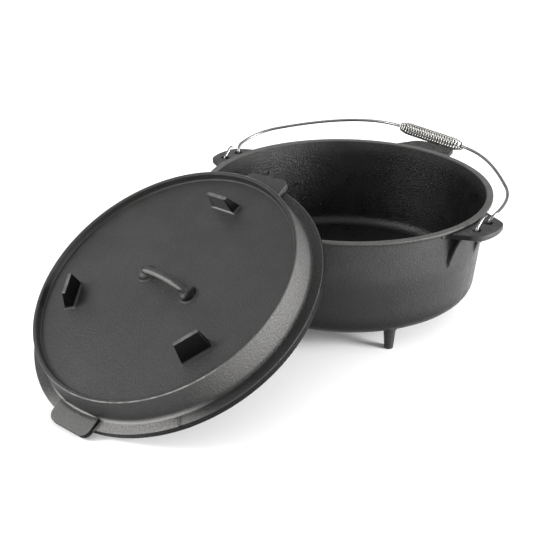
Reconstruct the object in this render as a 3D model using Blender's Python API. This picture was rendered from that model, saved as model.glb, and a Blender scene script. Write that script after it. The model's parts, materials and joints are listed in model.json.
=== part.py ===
"""A cast iron dutch oven: pot, flanged lid, wire bail and coiled wire grip.

Metres, +Z up. The pot stands on its three legs, the lid leans on the pot's rim with its lowest
edge on the ground, and the bail lies folded back over the rear lug. Every piece is modelled about
the pot's axis, then one root empty moves them together, so that the world's origin is under the
middle of the whole object's box.
"""

import math

import bmesh
import bpy
from mathutils import Matrix, Vector
from mathutils.geometry import interpolate_bezier

# Pot
RIM_RADIUS = 0.160
RIM_WIDTH = 0.0075
RIM_TOP = 0.1355
RIM_LIP = 0.003
WALL_TOP_RADIUS = 0.155
WALL_FOOT_RADIUS = 0.1476
WALL_FOOT_Z = 0.043
WALL = 0.005
CORNER_RADIUS = 0.014
LEG_HEIGHT = 0.0242
LEG_CIRCLE = 0.1316
LEG_ANGLES = (2.9, 122.9, 242.9)
LEG_TOP_RADIUS = 0.0066
LEG_SOLE_RADIUS = 0.0047

# Ears that carry the bail, and the plain lug at the back
HINGE_ANGLE = -84.3
HINGE_SHIFT = -0.0021
EAR_ANGLES = (-85.1, 96.3)
EAR_TOP = RIM_TOP - 0.003
EAR_THICKNESS = 0.006
EAR_REACH = 0.1868
EAR_BOW = 0.0035
EAR_ROOT_HALF = 0.039
EAR_TIP_HALF = 0.0225
EAR_CORNER = 0.011
HOLE_CIRCLE = 0.170
HOLE_OFFSET = 0.012
HOLE_RADIUS = 0.0046
GUSSET_SPREAD = 10.0
GUSSET_THICKNESS = 0.0045
GUSSET_REACH = 0.1675
GUSSET_TIP_Z = 0.0875
LUG_ANGLE = 5.7

# Lid, in its own frame: +Z out of its top face, z = 0 at the flange's underside
LID_CENTRE = Vector((-0.2424, 0.0072, 0.0776))
LID_TILT = 30.3
LID_GAP = 0.0004
FLANGE_RADIUS = 0.1551
FLANGE_THICKNESS = 0.0077
CROWN_FOOT_RADIUS = 0.1434
LIP_TOP_RADIUS = 0.1396
LIP_TOP = 0.0358
LIP_INNER_RADIUS = 0.1348
DISC_TOP = 0.0284
DISC_UNDERSIDE = 0.0226
HOLLOW_RADIUS = 0.138
TAB_ANGLES = (2.2, 184.6)
TAB_REACH = 0.164
TAB_HALF_WIDTH = 0.0275
TAB_CORNER = 0.009
TAB_UNDERSIDE = 0.0064
TAB_TOP = 0.0125
NOTCH_ANGLE = -132.0
NOTCH_WIDTH = 0.008
FOOT_ANGLES = (3.4, 123.4, 243.4)
FOOT_INNER = 0.097
FOOT_BASE_OUTER = 0.108
FOOT_TOP_OUTER = 0.1005
FOOT_BASE_LENGTH = 0.031
FOOT_TOP_LENGTH = 0.025
FOOT_HEIGHT = 0.020
HANDLE_ENDS = (-0.036, 0.028)
HANDLE_RISE = 0.0135
HANDLE_HALF_WIDTH = 0.0050
HANDLE_HALF_THICKNESS = 0.004
BOSS_RADIUS = 0.0085

# Bail, in the frame of its hinge: +X along the hinge axis, +Y to the back, +Z up
PIVOT_Z = EAR_TOP - EAR_THICKNESS / 2
WIRE_RADIUS = 0.00165
HOOK_RADIUS = 0.0126
HOOK_TAIL_RADII = {1: 0.0145, -1: 0.0136}
HOOK_TAIL_ANGLES = {1: 52.0, -1: 81.0}
HOOK_TAIL_DIP = 0.0020
BAIL_TILT = 12.0
BAIL_OFFSET = 0.0068
SHOULDER = (0.1735, 0.026)
ARC_START = (0.156, 0.0745)
ARC_START_SLOPE = 46.5
GRIP_ENDS = ((-0.0185, 0.1420), (0.0728, 0.1292))
COIL_WIRE_RADIUS = 0.00115
COIL_TURNS = 27
COIL_RADIUS = 0.0063
COIL_END_RADIUS = 0.0037
COIL_TAPER = 0.013

ROUND_STEPS = 72


def clear_scene():
    for obj in list(bpy.data.objects):
        bpy.data.objects.remove(obj)


def make_material(name, colour, roughness, metallic):
    material = bpy.data.materials.new(name)
    material.use_nodes = True
    shader = material.node_tree.nodes["Principled BSDF"]
    shader.inputs["Base Color"].default_value = (*colour, 1.0)
    shader.inputs["Roughness"].default_value = roughness
    shader.inputs["Metallic"].default_value = metallic
    return material


def make_empty(name, parent, matrix):
    empty = bpy.data.objects.new(name, None)
    bpy.context.scene.collection.objects.link(empty)
    empty.empty_display_size = 0.02
    empty.parent = parent
    empty.matrix_local = matrix
    return empty


def make_object(name, bm, parent, material=None, matrix=None):
    """An object of the mesh, with its faces outward and its round stretches smooth."""
    bmesh.ops.recalc_face_normals(bm, faces=bm.faces)
    mesh = bpy.data.meshes.new(name)
    bm.to_mesh(mesh)
    bm.free()
    mesh.shade_smooth()
    mesh.set_sharp_from_angle(angle=math.radians(35))
    obj = bpy.data.objects.new(name, mesh)
    bpy.context.scene.collection.objects.link(obj)
    obj.parent = parent
    if matrix:
        obj.matrix_local = matrix
    if material:
        mesh.materials.append(material)
    return obj


def combine(body, helpers, operation):
    """Joins each helper to the body, or cuts it away, and keeps the helper out of the object."""
    for helper in helpers:
        helper.hide_render = True
        helper.display_type = "WIRE"
        modifier = body.modifiers.new(helper.name, "BOOLEAN")
        modifier.operation = operation
        modifier.solver = "EXACT"
        modifier.object = helper


def turn_z(degrees):
    return Matrix.Rotation(math.radians(degrees), 4, "Z")


def arc(centre, radius, start, end, steps):
    """Points of an arc in a plane, with its angles in degrees."""
    points = []
    for step in range(steps + 1):
        angle = math.radians(start + (end - start) * step / steps)
        points.append((centre[0] + radius * math.cos(angle), centre[1] + radius * math.sin(angle)))
    return points


def rounded(corners, radius, steps=4):
    """An outline whose corners are rounded. Each corner is (x, y, whether it is rounded)."""
    outline = []
    for index, (x, y, is_round) in enumerate(corners):
        corner = Vector((x, y))
        if not is_round:
            outline.append(corner)
            continue
        before = (Vector(corners[index - 1][:2]) - corner).normalized()
        after = (Vector(corners[(index + 1) % len(corners)][:2]) - corner).normalized()
        half = before.angle(after) / 2
        reach = radius / math.tan(half)
        start = corner + before * reach
        end = corner + after * reach
        centre = corner + (before + after).normalized() * radius / math.sin(half)
        first = (start - centre).normalized()
        last = (end - centre).normalized()
        for step in range(steps + 1):
            outline.append(centre + first.slerp(last, step / steps) * radius)
    return outline


def turned(profile, steps=ROUND_STEPS):
    """A solid turned about +Z. Its profile of (radius, z) runs from the axis, out, up and back to it."""
    bm = bmesh.new()
    rings = []
    for radius, z in profile:
        count = steps if radius > 0 else 1
        ring = []
        for step in range(count):
            angle = 2 * math.pi * step / steps
            ring.append(bm.verts.new((radius * math.cos(angle), radius * math.sin(angle), z)))
        rings.append(ring)
    for lower, upper in zip(rings, rings[1:]):
        for step in range(steps):
            after = step + 1
            corners = [
                lower[step % len(lower)],
                lower[after % len(lower)],
                upper[after % len(upper)],
                upper[step % len(upper)],
            ]
            bm.faces.new(list(dict.fromkeys(corners)))
    return bm


def prism(outline, low, high):
    """The outline in the XY plane, extruded along Z from low to high."""
    bm = bmesh.new()
    bottom = bm.faces.new([bm.verts.new((x, y, low)) for x, y in outline])
    extruded = bmesh.ops.extrude_face_region(bm, geom=[bottom])
    verts = [item for item in extruded["geom"] if isinstance(item, bmesh.types.BMVert)]
    bmesh.ops.translate(bm, verts=verts, vec=(0, 0, high - low))
    return bm


def swept(path, section, side):
    """A capped bar along the path. section(index) gives its corners across side and across the path."""
    bm = bmesh.new()
    rings = []
    for index, point in enumerate(path):
        ahead = path[min(index + 1, len(path) - 1)] - path[max(index - 1, 0)]
        ahead.normalize()
        side = (side - ahead * side.dot(ahead)).normalized()
        up = ahead.cross(side)
        corners = section(index)
        rings.append([bm.verts.new(point + side * x + up * y) for x, y in corners])
    for ring, after in zip(rings, rings[1:]):
        for corner in range(len(ring)):
            beside = (corner + 1) % len(ring)
            bm.faces.new([ring[corner], ring[beside], after[beside], after[corner]])
    bm.faces.new(rings[0])
    bm.faces.new(list(reversed(rings[-1])))
    return bm


def round_section(radius, sides):
    points = arc((0, 0), radius, 0, 360, sides)[:-1]
    return lambda index: points


def bezier(start, start_way, end, end_way, reach, steps):
    """A smooth stretch between two points that leaves and arrives along the given ways."""
    return interpolate_bezier(start, start + start_way * reach, end - end_way * reach, end, steps)


def wall_radius(z):
    """The pot's outer radius on the straight stretch of its wall."""
    share = (z - WALL_FOOT_Z) / (RIM_TOP - 0.006 - WALL_FOOT_Z)
    return WALL_FOOT_RADIUS + (WALL_TOP_RADIUS - WALL_FOOT_RADIUS) * share


def pot_profile():
    floor_top = LEG_HEIGHT + WALL + 0.0005
    corner = (WALL_FOOT_RADIUS - CORNER_RADIUS, LEG_HEIGHT + CORNER_RADIUS)
    inner_radius = CORNER_RADIUS - WALL / 2
    inner_corner = (WALL_FOOT_RADIUS - WALL - inner_radius, floor_top + inner_radius)
    lip_low = RIM_TOP - RIM_LIP
    profile = [(0, LEG_HEIGHT)]
    profile += arc(corner, CORNER_RADIUS, -90, -4, 6)
    profile += [(WALL_TOP_RADIUS, RIM_TOP - 0.006), (WALL_TOP_RADIUS + 0.0014, lip_low - 0.001)]
    profile += [(RIM_RADIUS - 0.0006, lip_low), (RIM_RADIUS, lip_low + 0.0007)]
    profile += [(RIM_RADIUS, RIM_TOP - 0.0008), (RIM_RADIUS - 0.0008, RIM_TOP)]
    profile += [(RIM_RADIUS - RIM_WIDTH + 0.001, RIM_TOP), (RIM_RADIUS - RIM_WIDTH, RIM_TOP - 0.001)]
    profile += [(WALL_TOP_RADIUS - WALL + 0.0006, RIM_TOP - 0.006)]
    profile += arc(inner_corner, inner_radius, -4, -90, 5)
    profile.append((0, floor_top))
    return profile


def make_leg(pot_frame, index, angle):
    profile = [
        (0, 0),
        (LEG_SOLE_RADIUS - 0.0008, 0),
        (LEG_SOLE_RADIUS, 0.0009),
        (LEG_TOP_RADIUS, LEG_HEIGHT),
        (LEG_TOP_RADIUS, LEG_HEIGHT + 0.0035),
        (0, LEG_HEIGHT + 0.0035),
    ]
    place = turn_z(angle) @ Matrix.Translation((LEG_CIRCLE, 0, 0))
    return make_object(f"leg_core_{index}", turned(profile, 16), pot_frame, matrix=place)


def ear_outline():
    """An ear's plan, with +X out of the pot: its root follows the wall and its outer corners are round."""
    root_radius = WALL_TOP_RADIUS - WALL / 2
    slope = (EAR_ROOT_HALF - EAR_TIP_HALF) / (EAR_REACH - RIM_RADIUS)
    root_half = EAR_ROOT_HALF + slope * (RIM_RADIUS - root_radius)
    root_angle = math.degrees(math.asin(root_half / root_radius))
    root = [(x, y, False) for x, y in arc((0, 0), root_radius, root_angle, -root_angle, 8)]
    shoulder = EAR_REACH - EAR_BOW
    bow = []
    for share in (-0.5, -0.25, 0, 0.25, 0.5):
        bow.append((EAR_REACH - EAR_BOW * share**2, EAR_TIP_HALF * share, False))
    tip = [(shoulder, -EAR_TIP_HALF, True), *bow, (shoulder, EAR_TIP_HALF, True)]
    return rounded(root + tip, EAR_CORNER)


def make_ear(pot_frame, index, angle):
    plate = prism(ear_outline(), EAR_TOP - EAR_THICKNESS, EAR_TOP)
    return make_object(f"ear_plate_{index}", plate, pot_frame, matrix=turn_z(angle))


def make_ear_hole(pot_frame, index, angle, offset):
    cutter = bmesh.new()
    bmesh.ops.create_cone(
        cutter,
        cap_ends=True,
        segments=20,
        radius1=HOLE_RADIUS,
        radius2=HOLE_RADIUS,
        depth=4 * EAR_THICKNESS,
    )
    place = turn_z(angle) @ Matrix.Translation((HOLE_CIRCLE, offset, PIVOT_Z))
    return make_object(f"ear_hole_{index}", cutter, pot_frame, matrix=place)


def make_gusset(pot_frame, index, angle):
    """The radial web under an ear. Its outline is drawn as (radius, z) and then stood upright."""
    top = EAR_TOP - EAR_THICKNESS / 2
    under = EAR_TOP - EAR_THICKNESS
    start = Vector((GUSSET_REACH, under, 0))
    tip = Vector((wall_radius(GUSSET_TIP_Z), GUSSET_TIP_Z, 0))
    edge = bezier(start, Vector((-0.6, -0.8, 0)), tip, Vector((-0.35, -0.94, 0)), 0.012, 6)
    outline = [(wall_radius(top) - WALL / 2, top), (GUSSET_REACH, top)]
    outline += [(point.x, point.y) for point in edge]
    outline.append((tip.x - WALL / 2, tip.y))
    web = prism(outline, -GUSSET_THICKNESS / 2, GUSSET_THICKNESS / 2)
    place = turn_z(angle) @ Matrix.Rotation(math.radians(90), 4, "X")
    return make_object(f"gusset_{index}", web, pot_frame, matrix=place)


def make_lug(pot_frame):
    plate = prism(ear_outline(), RIM_TOP - EAR_THICKNESS - 0.0002, RIM_TOP - 0.0002)
    return make_object("lug_plate", plate, pot_frame, matrix=turn_z(LUG_ANGLE))


def make_pot(pot_frame, material):
    pot = make_object("pot", turned(pot_profile()), pot_frame, material)
    added = [make_leg(pot_frame, index, angle) for index, angle in enumerate(LEG_ANGLES)]
    holes = []
    for index, angle in enumerate(EAR_ANGLES):
        added.append(make_ear(pot_frame, index, angle))
        for side in (-1, 1):
            count = len(holes)
            added.append(make_gusset(pot_frame, count, angle + side * GUSSET_SPREAD))
            holes.append(make_ear_hole(pot_frame, count, angle, side * HOLE_OFFSET))
    added.append(make_lug(pot_frame))
    combine(pot, added, "UNION")
    combine(pot, holes, "DIFFERENCE")
    return pot


def lid_profile():
    roof_corner = (HOLLOW_RADIUS - 0.0115, DISC_UNDERSIDE - 0.008)
    profile = [(0, DISC_UNDERSIDE)]
    profile += arc(roof_corner, 0.008, 90, 12, 4)
    profile += [(HOLLOW_RADIUS, 0), (FLANGE_RADIUS - 0.0013, 0), (FLANGE_RADIUS, 0.0012)]
    profile += [(FLANGE_RADIUS, FLANGE_THICKNESS - 0.001), (FLANGE_RADIUS - 0.001, FLANGE_THICKNESS)]
    profile += [(CROWN_FOOT_RADIUS + 0.0015, FLANGE_THICKNESS)]
    profile += [(CROWN_FOOT_RADIUS - 0.0002, FLANGE_THICKNESS + 0.0017)]
    profile += [(LIP_TOP_RADIUS, LIP_TOP - 0.001), (LIP_TOP_RADIUS - 0.001, LIP_TOP)]
    profile += [(LIP_INNER_RADIUS + 0.0014, LIP_TOP), (LIP_INNER_RADIUS + 0.0006, LIP_TOP - 0.001)]
    profile += [(LIP_INNER_RADIUS, DISC_TOP + 0.0015), (LIP_INNER_RADIUS - 0.0015, DISC_TOP)]
    profile.append((0, DISC_TOP))
    return profile


def make_tab(lid_frame, index, angle):
    """A lifting tab: a square pad that stands above the flange and reaches past its edge."""
    root = FLANGE_RADIUS - 0.013
    outline = rounded(
        [
            (root, -TAB_HALF_WIDTH, False),
            (TAB_REACH, -TAB_HALF_WIDTH, True),
            (TAB_REACH, TAB_HALF_WIDTH, True),
            (root, TAB_HALF_WIDTH, False),
        ],
        TAB_CORNER,
    )
    pad = prism(outline, TAB_UNDERSIDE, TAB_TOP)
    return make_object(f"tab_{index}", pad, lid_frame, matrix=turn_z(angle))


def make_foot(lid_frame, index, angle):
    """A wedge on the lid's top: upright towards the middle, sloping on its outer side."""
    bm = bmesh.new()
    base = DISC_TOP - 0.003
    top = DISC_TOP + FOOT_HEIGHT
    rings = []
    for z, outer, length in (
        (base, FOOT_BASE_OUTER, FOOT_BASE_LENGTH),
        (top, FOOT_TOP_OUTER, FOOT_TOP_LENGTH),
    ):
        half = length / 2
        corners = ((FOOT_INNER, -half), (outer, -half), (outer, half), (FOOT_INNER, half))
        rings.append([bm.verts.new((x, y, z)) for x, y in corners])
    low, high = rings
    bm.faces.new(low)
    bm.faces.new(high)
    for corner in range(4):
        beside = (corner + 1) % 4
        bm.faces.new([low[corner], low[beside], high[beside], high[corner]])
    return make_object(f"lid_foot_{index}", bm, lid_frame, matrix=turn_z(angle))


def make_handle(lid_frame):
    """The arched bar at the middle of the lid, cast on at both ends."""
    low, high = HANDLE_ENDS
    middle = (low + high) / 2
    half = (high - low) / 2
    steps = 16
    path = []
    for step in range(steps + 1):
        angle = math.pi * step / steps
        rise = HANDLE_RISE * math.sin(angle) ** 0.7 if 0 < step < steps else -0.003
        path.append(Vector((0, middle - half * math.cos(angle), DISC_TOP + rise)))
    section = [
        (x * HANDLE_HALF_WIDTH, y * HANDLE_HALF_THICKNESS) for x, y in arc((0, 0), 1, 0, 360, 12)[:-1]
    ]
    bar = swept(path, lambda index: section, Vector((1, 0, 0)))
    return make_object("handle_bar", bar, lid_frame)


def make_boss(lid_frame, index, offset):
    profile = [
        (0, DISC_TOP - 0.003),
        (BOSS_RADIUS + 0.001, DISC_TOP - 0.003),
        (BOSS_RADIUS, DISC_TOP + 0.002),
        (BOSS_RADIUS - 0.002, DISC_TOP + 0.0045),
        (0, DISC_TOP + 0.0055),
    ]
    place = Matrix.Translation((0, offset, 0))
    return make_object(f"handle_boss_{index}", turned(profile, 20), lid_frame, matrix=place)


def make_notch(lid_frame):
    """The cutter of the V-shaped groove that runs out across the flange."""
    half = NOTCH_WIDTH / 2
    outline = [(-half, 0.003), (0, -0.0035), (half, 0.003)]
    cutter = prism(outline, CROWN_FOOT_RADIUS + 0.0005, FLANGE_RADIUS + 0.004)
    stand = Matrix.Rotation(math.radians(90), 4, "Z") @ Matrix.Rotation(math.radians(90), 4, "X")
    place = turn_z(NOTCH_ANGLE) @ Matrix.Translation((0, 0, FLANGE_THICKNESS)) @ stand
    return make_object("flange_notch", cutter, lid_frame, matrix=place)


def make_lid(lid_frame, material):
    lid = make_object("lid", turned(lid_profile()), lid_frame, material)
    added = [make_tab(lid_frame, index, angle) for index, angle in enumerate(TAB_ANGLES)]
    added += [make_foot(lid_frame, index, angle) for index, angle in enumerate(FOOT_ANGLES)]
    added += [make_boss(lid_frame, index, offset) for index, offset in enumerate(HANDLE_ENDS)]
    added.append(make_handle(lid_frame))
    combine(lid, added, "UNION")
    combine(lid, [make_notch(lid_frame)], "DIFFERENCE")
    return lid


def on_bail_plane(across, along):
    """A point of the bail's own plane, which tilts up to the back and passes over the hinge axis."""
    tilt = math.radians(BAIL_TILT)
    y = along * math.cos(tilt) - BAIL_OFFSET * math.sin(tilt)
    z = along * math.sin(tilt) + BAIL_OFFSET * math.cos(tilt)
    return Vector((across, y, z))


def bail_way(across, along):
    return (on_bail_plane(across, along) - on_bail_plane(0, 0)).normalized()


def hook_points(side):
    """From the free tail, down the front hole, under the web and up to the rear hole."""
    tail = HOOK_TAIL_ANGLES[side]
    points = []
    steps = 22
    for step in range(steps + 1):
        angle = tail + (360 - tail) * step / steps
        openness = max(0.0, (180 - angle) / (180 - tail))
        spread = (HOOK_TAIL_RADII[side] - HOOK_RADIUS) * openness**2
        radius = HOOK_RADIUS + spread - HOOK_TAIL_DIP * math.sin(math.pi * openness) ** 2
        turn = math.radians(angle)
        points.append(Vector((side * HOLE_CIRCLE, radius * math.cos(turn), radius * math.sin(turn))))
    return points


def bail_half(side, grip_end):
    """One half of the bail's wire, from its tail to the end of the straight stretch in the grip."""
    points = hook_points(side)
    shoulder = on_bail_plane(side * SHOULDER[0], SHOULDER[1])
    corner = on_bail_plane(side * ARC_START[0], ARC_START[1])
    slope = math.radians(ARC_START_SLOPE)
    rise = bail_way(0, 1)
    inward = bail_way(-side * math.cos(slope), math.sin(slope))
    grip_way = (Vector(GRIP_ENDS[0]) - Vector(GRIP_ENDS[1])).normalized() * side
    along_grip = bail_way(*grip_way)
    end = on_bail_plane(*grip_end)
    up = Vector((0, 0, 1))
    points += bezier(points[-1], up, shoulder, rise, 0.0075, 10)[1:]
    points += bezier(shoulder, rise, corner, inward, 0.019, 10)[1:]
    points += bezier(corner, inward, end, along_grip, (end - corner).length * 0.34, 12)[1:]
    return points


def make_bail(hinge, material):
    right = bail_half(1, GRIP_ENDS[1])
    left = bail_half(-1, GRIP_ENDS[0])
    path = right + list(reversed(left))
    bar = swept(path, round_section(WIRE_RADIUS, 8), Vector((0, 1, 0)))
    return make_object("bail", bar, hinge, material)


def coil_radius(along, length):
    """The coil's radius at a distance along it: a barrel that draws in at both ends."""
    edge = min(along, length - along)
    share = min(1.0, edge / COIL_TAPER)
    return COIL_END_RADIUS + (COIL_RADIUS - COIL_END_RADIUS) * math.sin(share * math.pi / 2)


def make_grip(grip_axis, length, material):
    """The coiled wire sleeve, wound about its own +X, with the origin at its middle."""
    steps_per_turn = 12
    count = COIL_TURNS * steps_per_turn
    wound = length - 2 * COIL_WIRE_RADIUS
    path = []
    for step in range(count + 1):
        along = wound * step / count
        angle = 2 * math.pi * step / steps_per_turn
        radius = coil_radius(along, wound)
        x = along - wound / 2
        path.append(Vector((x, radius * math.cos(angle), radius * math.sin(angle))))
    wire = swept(path, round_section(COIL_WIRE_RADIUS, 6), Vector((1, 0, 0)))
    return make_object("grip_coil", wire, grip_axis, material)


def box_of(objects):
    """The lowest and highest corner of the objects' evaluated meshes in world space."""
    bpy.context.view_layer.update()
    graph = bpy.context.evaluated_depsgraph_get()
    points = []
    for obj in objects:
        evaluated = obj.evaluated_get(graph)
        mesh = evaluated.to_mesh()
        points += [evaluated.matrix_world @ vert.co for vert in mesh.vertices]
        evaluated.to_mesh_clear()
    low = Vector([min(point[axis] for point in points) for axis in range(3)])
    high = Vector([max(point[axis] for point in points) for axis in range(3)])
    return low, high


clear_scene()
iron = make_material("cast_iron", (0.035, 0.035, 0.037), 0.55, 0.6)
lid_iron = make_material("lid_cast_iron", (0.045, 0.045, 0.047), 0.5, 0.6)
steel = make_material("bail_steel", (0.62, 0.62, 0.63), 0.25, 1.0)
coil_steel = make_material("grip_steel", (0.66, 0.64, 0.60), 0.3, 1.0)

root = make_empty("root", None, Matrix.Identity(4))
pot_frame = make_empty("pot_frame", root, Matrix.Identity(4))
tilt = Matrix.Rotation(math.radians(-LID_TILT), 4, "Y")
lid_place = LID_CENTRE + tilt.to_3x3() @ Vector((0, 0, LID_GAP))
lid_frame = make_empty("lid_frame", root, Matrix.Translation(lid_place) @ tilt)
hinge_place = turn_z(HINGE_ANGLE) @ Matrix.Translation((0, HINGE_SHIFT, PIVOT_Z))
hinge = make_empty("bail_hinge", root, hinge_place)

grip_from = on_bail_plane(*GRIP_ENDS[0])
grip_to = on_bail_plane(*GRIP_ENDS[1])
grip_turn = (grip_to - grip_from).to_track_quat("X", "Z").to_matrix().to_4x4()
grip_axis = make_empty("grip_axis", hinge, Matrix.Translation((grip_from + grip_to) / 2) @ grip_turn)

pieces = [
    make_pot(pot_frame, iron),
    make_lid(lid_frame, lid_iron),
    make_bail(hinge, steel),
    make_grip(grip_axis, (grip_to - grip_from).length, coil_steel),
]
lowest, highest = box_of(pieces)
root.location = (-(lowest.x + highest.x) / 2, -(lowest.y + highest.y) / 2, 0)
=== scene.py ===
"""The looks of a cast iron dutch oven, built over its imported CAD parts.

Each of the four CAD nodes is replaced by one detailed piece in the same place: the pot casting, the
lid casting, the bail wire and the coiled grip. Lengths are in metres. Every piece is modelled in
the frame of its own part: the pot's axis, the lid's tilted frame, the bail's hinge and the grip's
axis. The floor and the lamps only surround it.
"""

import json
import math

import bmesh
import bpy
from mathutils import Matrix, Vector, noise
from mathutils.geometry import interpolate_bezier

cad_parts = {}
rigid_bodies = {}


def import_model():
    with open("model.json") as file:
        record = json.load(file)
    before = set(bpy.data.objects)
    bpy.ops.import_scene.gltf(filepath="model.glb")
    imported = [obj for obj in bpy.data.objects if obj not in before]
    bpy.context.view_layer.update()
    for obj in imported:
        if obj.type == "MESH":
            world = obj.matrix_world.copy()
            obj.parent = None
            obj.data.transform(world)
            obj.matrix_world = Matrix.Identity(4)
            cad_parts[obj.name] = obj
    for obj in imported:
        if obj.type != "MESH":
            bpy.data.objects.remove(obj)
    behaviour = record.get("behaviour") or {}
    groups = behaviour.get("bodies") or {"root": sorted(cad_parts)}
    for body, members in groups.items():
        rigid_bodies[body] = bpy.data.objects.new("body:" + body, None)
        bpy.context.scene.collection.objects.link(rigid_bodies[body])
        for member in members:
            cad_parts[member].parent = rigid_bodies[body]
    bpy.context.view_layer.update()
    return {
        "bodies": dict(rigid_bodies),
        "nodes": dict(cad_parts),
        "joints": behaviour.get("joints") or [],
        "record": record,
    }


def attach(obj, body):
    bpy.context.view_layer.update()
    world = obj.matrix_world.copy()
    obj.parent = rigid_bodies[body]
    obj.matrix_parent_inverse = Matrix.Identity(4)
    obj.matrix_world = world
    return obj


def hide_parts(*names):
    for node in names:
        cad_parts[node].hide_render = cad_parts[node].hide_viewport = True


# Pot
RIM_RADIUS = 0.160
RIM_WIDTH = 0.0075
RIM_TOP = 0.1355
RIM_LIP = 0.003
LIP_LOW = RIM_TOP - RIM_LIP
INNER_RADIUS = RIM_RADIUS - RIM_WIDTH
WALL_TOP_RADIUS = 0.155
WALL_TOP_Z = RIM_TOP - 0.006
WALL_FOOT_RADIUS = 0.1476
WALL_FOOT_Z = 0.043
WALL = 0.005
CORNER_RADIUS = 0.014
LEG_HEIGHT = 0.0242
LEG_CIRCLE = 0.1316
LEG_ANGLES = (2.9, 122.9, 242.9)
LEG_TOP_RADIUS = 0.0066
LEG_SOLE_RADIUS = 0.0047
LEG_FLARE = 0.0022
LEG_EDGE = 0.0010

# Ears that carry the bail, and the plain lug at the back
HINGE_ANGLE = -84.3
HINGE_SHIFT = -0.0021
EAR_ANGLES = (-85.1, 96.3)
EAR_TOP = RIM_TOP - 0.003
EAR_THICKNESS = 0.006
EAR_LOW = EAR_TOP - EAR_THICKNESS
PIVOT_Z = EAR_TOP - EAR_THICKNESS / 2
EAR_EDGE = 0.0011
EAR_REACH = 0.18675
EAR_BOW = 0.0035
EAR_ROOT_HALF = 0.0345
EAR_TIP_HALF = 0.0225
EAR_CORNER = 0.0145
EAR_ROOT_FILLET = 0.010
HOLE_CIRCLE = 0.170
HOLE_OFFSET = 0.012
HOLE_RADIUS = 0.0046
HOLE_LIP = 0.0010
GUSSET_SPREAD = 10.0
GUSSET_THICKNESS = 0.0045
GUSSET_REACH = 0.1675
GUSSET_TIP_Z = 0.0875
GUSSET_NOSE = 0.0016
GUSSET_FILLET = 0.0016
LUG_ANGLE = 5.7
LUG_CORNERS = (0.0035, EAR_CORNER)
LUG_WIDER = 0.30
LUG_SLOPE = 0.060
LUG_TOP = RIM_TOP - 0.0002

# Lid, in its own frame: +Z out of its top face, z = 0 at the flange's underside
LID_CENTRE = Vector((-0.2424, 0.0072, 0.0776))
LID_TILT = 30.3
LID_GAP = 0.0004
FLANGE_RADIUS = 0.1551
FLANGE_THICKNESS = 0.0077
CROWN_FOOT_RADIUS = 0.1434
LIP_TOP_RADIUS = 0.13955
LIP_TOP = 0.03574
LIP_INNER_RADIUS = 0.1348
DISC_TOP = 0.0284
DISC_UNDERSIDE = 0.0226
HOLLOW_RADIUS = 0.138
TAB_ANGLES = (2.2, 184.6)
TAB_REACH = 0.164
TAB_HALF_WIDTH = 0.0275
TAB_CORNER = 0.008
TAB_SOFT_CORNER = 0.017
TAB_DROP = 0.0045
TAB_UNDERSIDE = 0.0064
TAB_TOP = 0.0125
TAB_EDGE = 0.0009
NOTCH_ANGLE = -132.0
NOTCH_WIDTH = 0.011
NOTCH_TIP_WIDTH = 0.006
NOTCH_DEPTH = 0.0022
FOOT_ANGLES = (3.4, 123.4, 243.4)
FOOT_INNER = 0.097
FOOT_BASE_OUTER = 0.108
FOOT_TOP_OUTER = 0.1005
FOOT_BASE_LENGTH = 0.031
FOOT_TOP_LENGTH = 0.025
FOOT_HEIGHT = 0.020
FOOT_FLARE = 0.0020
FOOT_EDGE = 0.0008
FOOT_CORNER = 0.0009
FOOT_TOP = DISC_TOP + FOOT_HEIGHT
HANDLE_ENDS = (-0.036, 0.0265)
HANDLE_RISE = 0.0135
HANDLE_HALF_WIDTH = 0.0038
HANDLE_HALF_THICKNESS = 0.0034
BOSS_RADIUS = 0.0085
BOSS_WALL = 0.0026
BOSS_DOME = 0.0033
BOSS_FILLET = 0.0024

# Bail, in the frame of its hinge: +X along the hinge axis, +Y to the back, +Z up
WIRE_RADIUS = 0.00162
HOOK_RADIUS = 0.0126
HOOK_TAIL_RADII = {1: 0.0145, -1: 0.0136}
HOOK_TAIL_ANGLES = {1: 52.0, -1: 81.0}
HOOK_TAIL_DIP = 0.0020
BAIL_TILT = 12.0
BAIL_OFFSET = 0.0068
SHOULDER = (0.1735, 0.026)
ARC_START = (0.156, 0.0745)
ARC_START_SLOPE = 46.5
GRIP_ENDS = ((-0.0185, 0.1420), (0.0728, 0.1292))
COIL_WIRE_RADIUS = 0.00085
COIL_TURNS = 24
COIL_RADIUS = 0.00635
COIL_END_RADIUS = 0.0037
COIL_TAPER = 0.013
COIL_STEPS_PER_TURN = 36
COIL_CLEARANCE = 0.0002

# Fineness of the meshes
ROUND_STEPS = 240
SMALL_ROUND_STEPS = 40
ARC_STEP = 12.0
LONGEST_STRAIGHT = 0.005
SHARP_ANGLE = 42.0

# How far cast-on parts reach into their casting
ROOT_DEPTH = 0.0015

# Waviness of the castings' surfaces
WAVE_HEIGHT = 0.00006
WAVE_LENGTH = 0.028

# Tones of the iron
SPECK_TONE = (0.06, 0.059, 0.057)
GROUND_TONE = (0.060, 0.058, 0.056)
# Painted shade: the inside tone, the shade tone and black stand in for shade.
INSIDE_SHADE_TONE = (0.0055, 0.0055, 0.0055)
SHADE_TONE = (0.002, 0.002, 0.002)
SHADE_BLACK = (0.001, 0.001, 0.001)
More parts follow.
